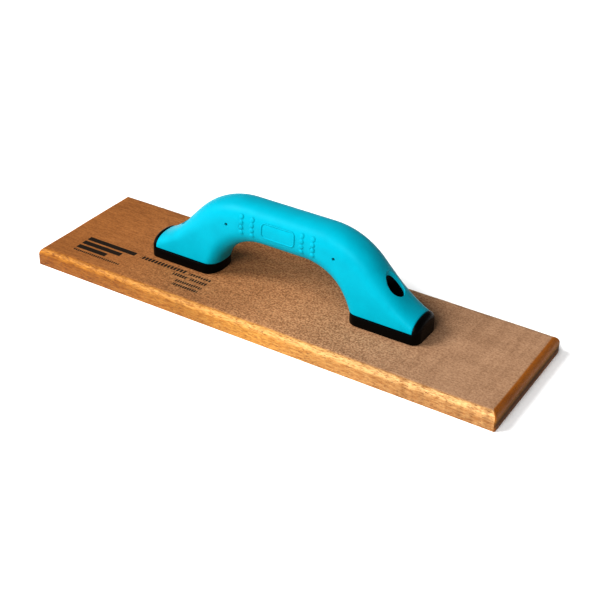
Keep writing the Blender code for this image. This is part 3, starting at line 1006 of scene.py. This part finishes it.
def finish_tree(tree, geometry, output, finish):
    """Ends a tree with real geometry and its finish."""
    real = result(tree, "GeometryNodeRealizeInstances", {"Geometry": geometry})
    painted = result(tree, "GeometryNodeSetMaterial", {"Geometry": real, "Material": finish})
    tree.links.new(painted, output.inputs[0])


def mesh_of(tree, thing):
    """The mesh of an object that is given to the tree."""
    return add_node(tree, "GeometryNodeObjectInfo", {"Object": thing})["Geometry"]


def copies_on(tree, points, shape, rotation):
    """A copy of the shape on every point."""
    inputs = {"Points": points, "Instance": shape, "Rotation": rotation}
    return result(tree, "GeometryNodeInstanceOnPoints", inputs)


def laid_on(tree, target, flat, centre):
    """Stands a flat figure upright at a centre, and carries it along Y onto the target."""
    inputs = {"Geometry": flat, "Translation": centre, "Rotation": (QUARTER, 0, 0)}
    upright = result(tree, "GeometryNodeTransform", inputs)
    ray = add_node(tree, "GeometryNodeRaycast", {"Target Geometry": target, "Ray Direction": (0, 1, 0)})
    inputs = {"Geometry": upright, "Position": ray["Hit Position"]}
    return result(tree, "GeometryNodeSetPosition", inputs)


def build_dot(steps=20):
    """A low dome on the Z axis, with a foot that runs down into the surface below it."""
    foot = [(DOT_FOOT, -DOT_SINK), (DOT_FOOT, 0.0)]
    arc = [(DOT_RADIUS * math.cos(a), DOT_HEIGHT * math.sin(a)) for a in sweep(QUARTER, 4)[:-1]]
    dot = piece_from("dot", loft([circle(r, z, steps) for r, z in foot + arc]))
    dot.hide_render = True
    return dot


def build_dots_tree(finish):
    tree, given, output = new_tree(
        "raised_dots",
        Rubber=("NodeSocketObject", None),
        Dot=("NodeSocketObject", None),
        Columns=("NodeSocketInt", 2),
        Rows=("NodeSocketInt", 4),
        Column_Gap=("NodeSocketFloat", 9 * MM),
        Row_Gap=("NodeSocketFloat", 4.1 * MM),
        Centre=("NodeSocketVector", (0, 0, 0)),
    )
    sizes = {"Vertices X": given["Columns"], "Vertices Y": given["Rows"]}
    for size, count, gap in (("Size X", "Columns", "Column_Gap"), ("Size Y", "Rows", "Row_Gap")):
        sizes[size] = times(tree, sum_node(tree, "SUBTRACT", given[count], 1.0), given[gap])
    grid = result(tree, "GeometryNodeMeshGrid", sizes)
    target = mesh_of(tree, given["Rubber"])
    landed = laid_on(tree, target, grid, given["Centre"])
    inputs = {"Mesh": target, "Value": result(tree, "GeometryNodeInputNormal")}
    normal = result(tree, "GeometryNodeSampleNearestSurface", inputs, data_type="FLOAT_VECTOR")
    facing = result(tree, "FunctionNodeAlignRotationToVector", {"Vector": normal}, axis="Z")
    stood = copies_on(tree, landed, mesh_of(tree, given["Dot"]), facing)
    finish_tree(tree, stood, output, finish)
    return tree


dot = build_dot()
dots_tree = build_dots_tree(rubber)
dots = []
for label, middle in DOT_MIDDLES:
    values = {"Rubber": grip, "Dot": dot, "Centre": (middle, MARKS_FRONT, BAR_MIDDLE + 0.8 * MM)}
    dots.append(run_tree(f"raised_dots_{label}", dots_tree, values))

# %% [markdown]
# The panel between the dots is a raised line round an empty field. A curve in the shape of a
# rounded rectangle is laid on the rubber by the same kind of ray, and a low half-round bead is
# swept along it.

# %% A tree for the panel's bead
def build_panel_tree(finish):
    tree, given, output = new_tree(
        "raised_panel",
        Rubber=("NodeSocketObject", None),
        Width=("NodeSocketFloat", 27 * MM),
        Height=("NodeSocketFloat", 11 * MM),
        Corner=("NodeSocketFloat", 3 * MM),
        Bead=("NodeSocketFloat", 0.6 * MM),
        Centre=("NodeSocketVector", (0, 0, 0)),
    )
    sizes = {"Width": given["Width"], "Height": given["Height"]}
    box = result(tree, "GeometryNodeCurvePrimitiveQuadrilateral", sizes)
    inputs = {"Curve": box, "Radius": given["Corner"], "Count": 8}
    soft = result(tree, "GeometryNodeFilletCurve", inputs, mode="POLY")
    even = result(tree, "GeometryNodeResampleCurve", {"Curve": soft, "Length": 0.5 * MM}, mode="LENGTH")
    landed = laid_on(tree, mesh_of(tree, given["Rubber"]), even, given["Centre"])
    inputs = {"Resolution": 12, "Radius": given["Bead"]}
    bead = result(tree, "GeometryNodeCurvePrimitiveCircle", inputs, mode="RADIUS")
    swept = result(tree, "GeometryNodeCurveToMesh", {"Curve": landed, "Profile Curve": bead})
    finish_tree(tree, swept, output, finish)
    return tree


panel = run_tree("raised_panel", build_panel_tree(rubber), {"Rubber": grip, "Centre": PANEL_CENTRE})

# %% [markdown]
# ## Screws and washers
#
# The screws are pan-head wood screws, zinc plated, with a cross recess. The thread is a ridge
# that climbs round the shank, so the radius at any depth and angle follows a rule, and the mesh
# is a stack of rings with that radius. One screw and one washer are made, and a small tree
# stands a copy over each pilot hole, each screw turned as far as it was driven.

# %% Zinc finish
def build_zinc():
    finish, tree, shader = new_finish("zinc_plated_steel")
    cloud = grain(tree, place_in_mm(tree), 2.5, detail=4.0)
    scratch = grain(tree, place_in_mm(tree, (1, 1, 12)), 0.6)
    dull, bright = display_colour(176, 176, 170), display_colour(214, 212, 202)
    colour = ramp(tree, cloud, [(0.3, dull), (0.7, bright)])
    rough = weighted(tree, 0.2, (scratch, 0.25))
    relief = bump(tree, scratch, 0.02 * MM, 0.5)
    fill(tree, shader, {"Base Color": colour, "Roughness": rough, "Normal": relief, "Metallic": 1.0})
    return finish


zinc = build_zinc()
print("finish:", zinc.name)

# %% One screw and one washer
SCREW_LENGTH = 20 * MM
HEAD_RADIUS = 4.4 * MM
HEAD_HEIGHT = screw_high.z - screw_low.z - SCREW_LENGTH
THREAD_RADIUS = 2.45 * MM
THREAD_ROOT = 1.75 * MM
THREAD_PITCH = 2.2 * MM
THREAD_WIDTH = 0.64  # a ridge's width at its root, as a share of the pitch
NECK_LENGTH = 3.0 * MM
TIP_LENGTH = 4.0 * MM
RECESS = (5.0 * MM, 1.1 * MM, 2.2 * MM)  # length, width and depth of each bar of the cross
RECESS_TAPER = 0.35  # a bar's length at its bottom, as a share of its length
RIM_SHARE = 0.45  # how much of the head's height is upright


def thread_radius(depth, turn):
    """The screw's radius at a depth below its head and an angle round its axis."""
    into_thread = depth - NECK_LENGTH
    along_pitch = (into_thread / THREAD_PITCH + turn / math.tau) % 1.0
    ridge = max(0.0, 1 - abs(along_pitch - 0.5) / (THREAD_WIDTH / 2))
    run_in = min(max(into_thread / THREAD_PITCH, 0.0), 1.0)
    taper = min(1.0, (SCREW_LENGTH - depth) / TIP_LENGTH)
    return (THREAD_ROOT + (THREAD_RADIUS - THREAD_ROOT) * ridge * run_in) * taper


def build_screw(steps=40, rings_per_turn=14):
    """A pan-head wood screw on the Z axis, with the head's seat at 0."""
    rim = HEAD_HEIGHT * RIM_SHARE
    crown = HEAD_HEIGHT - rim
    domes = [math.radians(angle) for angle in range(8, 90, 8)]
    rings = [circle(HEAD_RADIUS * math.sin(a), rim + crown * math.cos(a), steps) for a in domes]
    rings += [circle(r, z, steps) for r, z in ((HEAD_RADIUS, rim), (HEAD_RADIUS, 0.0), (THREAD_ROOT, 0.0))]
    spacing = THREAD_PITCH / rings_per_turn
    turns = sweep(math.tau, steps)[:-1]
    for i in range(int((SCREW_LENGTH - NECK_LENGTH) / spacing)):
        depth = NECK_LENGTH + spacing * i
        radii = [thread_radius(depth, t) for t in turns]
        rings.append([Vector((r * math.cos(t), r * math.sin(t), -depth)) for r, t in zip(radii, turns)])
    bm = bmesh.new()
    placed = skin_between(bm, rings)
    for height, ring in ((HEAD_HEIGHT, placed[0]), (-SCREW_LENGTH, placed[-1])):
        end = bm.verts.new((0, 0, height))
        for i, vert in enumerate(ring):
            bm.faces.new((end, vert, ring[(i + 1) % steps]))
    screw = piece_from("one_screw", bm, zinc)
    length, width, depth = RECESS
    bars = []
    for turn in (0, QUARTER):
        bm = bmesh.new()
        bmesh.ops.create_cube(bm, size=1, matrix=Matrix.Diagonal((length, width, 2 * depth, 1)))
        for vert in bm.verts:
            if vert.co.z < 0:
                vert.co.x *= RECESS_TAPER
        place = Matrix.Translation((0, 0, HEAD_HEIGHT)) @ Matrix.Rotation(turn, 4, "Z")
        bmesh.ops.transform(bm, matrix=place, verts=bm.verts)
        bars.append(piece_from("recess_bar", bm))
    combine(screw, bars, "DIFFERENCE")
    screw.hide_render = True
    return screw


WASHER_OUTER = (washer_high.x - washer_low.x) / 2
WASHER_HOLE = 2.8 * MM
WASHER_THICKNESS = washer_high.z - washer_low.z


def build_washer(steps=64):
    """A flat washer with softened rims, on the Z axis and with its lower face at 0."""
    soft = 0.15 * MM
    thick = WASHER_THICKNESS
    profile = [
        (WASHER_HOLE, soft), (WASHER_HOLE + soft, 0), (WASHER_OUTER - soft, 0), (WASHER_OUTER, soft),
        (WASHER_OUTER, thick - soft), (WASHER_OUTER - soft, thick), (WASHER_HOLE + soft, thick),
        (WASHER_HOLE, thick - soft), (WASHER_HOLE, soft),
    ]
    washer = piece_from("one_washer", loft([circle(r, z, steps) for r, z in profile], closed=False), zinc)
    washer.hide_render = True
    return washer


screw = build_screw()
washer = build_washer()
print("screw:", len(screw.data.polygons), "faces, washer:", len(washer.data.polygons), "faces")

# %% A tree that drives the fasteners
FIRST_TURN = 0.4  # how far the left-hand screw was driven, in radians
NEXT_TURN = 1.1  # and how much further the other one


def build_fastener_tree(finish):
    tree, given, output = new_tree(
        "fasteners",
        Fastener=("NodeSocketObject", None),
        Spacing=("NodeSocketFloat", 0.1),
        Height=("NodeSocketFloat", 0.0),
        Turn=("NodeSocketFloat", 0.0),
    )
    inputs = {"X": times(tree, given["Spacing"], -0.5), "Z": given["Height"]}
    start = result(tree, "ShaderNodeCombineXYZ", inputs)
    offset = result(tree, "ShaderNodeCombineXYZ", {"X": given["Spacing"]})
    inputs = {"Count": 2, "Start Location": start, "Offset": offset}
    line = result(tree, "GeometryNodeMeshLine", inputs, mode="OFFSET")
    index = result(tree, "GeometryNodeInputIndex")
    turned = sum_node(tree, "MULTIPLY_ADD", index, given["Turn"], FIRST_TURN)
    spin = result(tree, "ShaderNodeCombineXYZ", {"Z": turned})
    stood = copies_on(tree, line, mesh_of(tree, given["Fastener"]), spin)
    finish_tree(tree, stood, output, finish)
    return tree


fastener_tree = build_fastener_tree(zinc)
spread = {"Spacing": 2 * SCREW_X}
screws = run_tree("handle_screws", fastener_tree, spread | {
    "Fastener": screw, "Height": screw_low.z + SCREW_LENGTH, "Turn": NEXT_TURN,
})
washers = run_tree("screw_washers", fastener_tree, spread | {
    "Fastener": washer, "Height": washer_low.z,
})
for spare in (dot, screw, washer):
    bpy.data.objects.remove(spare)

# %% [markdown]
# ## What moves with what
#
# Nothing on this tool moves, so every piece rides on its one body. The imported solids that the
# new pieces stand for are hidden.

# %% Tie the pieces to the frame
for piece, node, slot in (
    (board, "timber_blade", "timber"),
    (grip, "soft_grip", "soft_grip"),
    (core, "handle_core", "black_plastic"),
):
    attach(piece, "root")
    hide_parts(node)
for piece in (*dots, panel):
    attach(piece, "root")
for piece, kind in ((screws, "handle_screw"), (washers, "washer")):
    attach(piece, "root")
    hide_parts(f"{kind}_left", f"{kind}_right")
print("pieces tied to the frame")

# %% [markdown]
# ## Floor, light and camera
#
# The tool lies on a white sweep, as in a catalogue. Two lights do the work. One shines from the
# front and reaches in under the arch. The other comes from high on the left and gives the long
# highlight on the bar. Both are suns with a wide disc, so they are as even as large soft lamps
# and their shadows have soft borders. The world fills the shadows a little. The right end of the
# board turns away from both lights, so it is dark, and the shadow falls to the right.

# %% Stage
FLOOR_SIZE = 4
LIGHTS = (  # name, where the light comes from, strength, and its disc in degrees
    ("front_light", (0.02, -0.84, 0.54), 2.05, 26),
    ("side_light", (-0.63, -0.44, 0.64), 2.6, 28),
)
ROOM_STRENGTH = 0.16
GAMMA = 0.85
EXPOSURE = 0.67
CAMERA_TURNS = [math.radians(angle) for angle in (30.34, 31.8, 2.02)]  # azimuth, elevation, roll
CAMERA_DISTANCE = 936.4 * MM
CAMERA_AIM = (9.2 * MM, 4.5 * MM)
LENS = 76.5


def build_floor():
    finish, tree, shader = new_finish("white_sweep")
    faint = grain(tree, place_in_mm(tree), 120, detail=2.0)
    colour = ramp(tree, faint, [(0.3, (0.97, 0.97, 0.97, 1)), (0.7, (1, 1, 1, 1))])
    fill(tree, shader, {"Base Color": colour, "Roughness": 0.9})
    bm = bmesh.new()
    bmesh.ops.create_grid(bm, x_segments=1, y_segments=1, size=FLOOR_SIZE)
    return piece_from("floor", bm, finish)


def soft_sun(name, direction, strength, spread):
    """An even, soft light from one direction. spread is the angle that its disc fills."""
    lamp = bpy.data.lights.new(name, "SUN")
    lamp.energy = strength
    lamp.angle = math.radians(spread)
    light = bpy.data.objects.new(name, lamp)
    light.rotation_euler = Vector(direction).to_track_quat("Z", "Y").to_euler()
    light.location = Vector(direction)
    bpy.context.scene.collection.objects.link(light)


def build_camera(azimuth, elevation, roll):
    """A camera that looks from a direction at CAMERA_AIM, a place in its own picture plane."""
    back = Vector((
        math.sin(azimuth) * math.cos(elevation),
        -math.cos(azimuth) * math.cos(elevation),
        math.sin(elevation),
    ))
    level = Vector((math.cos(azimuth), math.sin(azimuth), 0))
    rise = back.cross(level)
    right = level * math.cos(roll) + rise * math.sin(roll)
    up = rise * math.cos(roll) - level * math.sin(roll)
    camera = bpy.data.objects.new("camera", bpy.data.cameras.new("camera"))
    camera.data.lens = LENS
    turn = Matrix((right, up, back)).transposed().to_4x4()
    place = right * CAMERA_AIM[0] + up * CAMERA_AIM[1] + back * CAMERA_DISTANCE
    camera.matrix_world = Matrix.Translation(place) @ turn
    bpy.context.scene.collection.objects.link(camera)
    bpy.context.scene.camera = camera


build_floor()
for light in LIGHTS:
    soft_sun(*light)
world = bpy.data.worlds.new("bright_room")
bpy.context.scene.world = world
world.use_nodes = True
room = world.node_tree.nodes["Background"].inputs
room["Color"].default_value = (1, 1, 1, 1)
room["Strength"].default_value = ROOM_STRENGTH
view = bpy.context.scene.view_settings
view.view_transform = "Standard"
view.gamma = GAMMA
view.exposure = EXPOSURE
build_camera(*CAMERA_TURNS)
print("stage set")
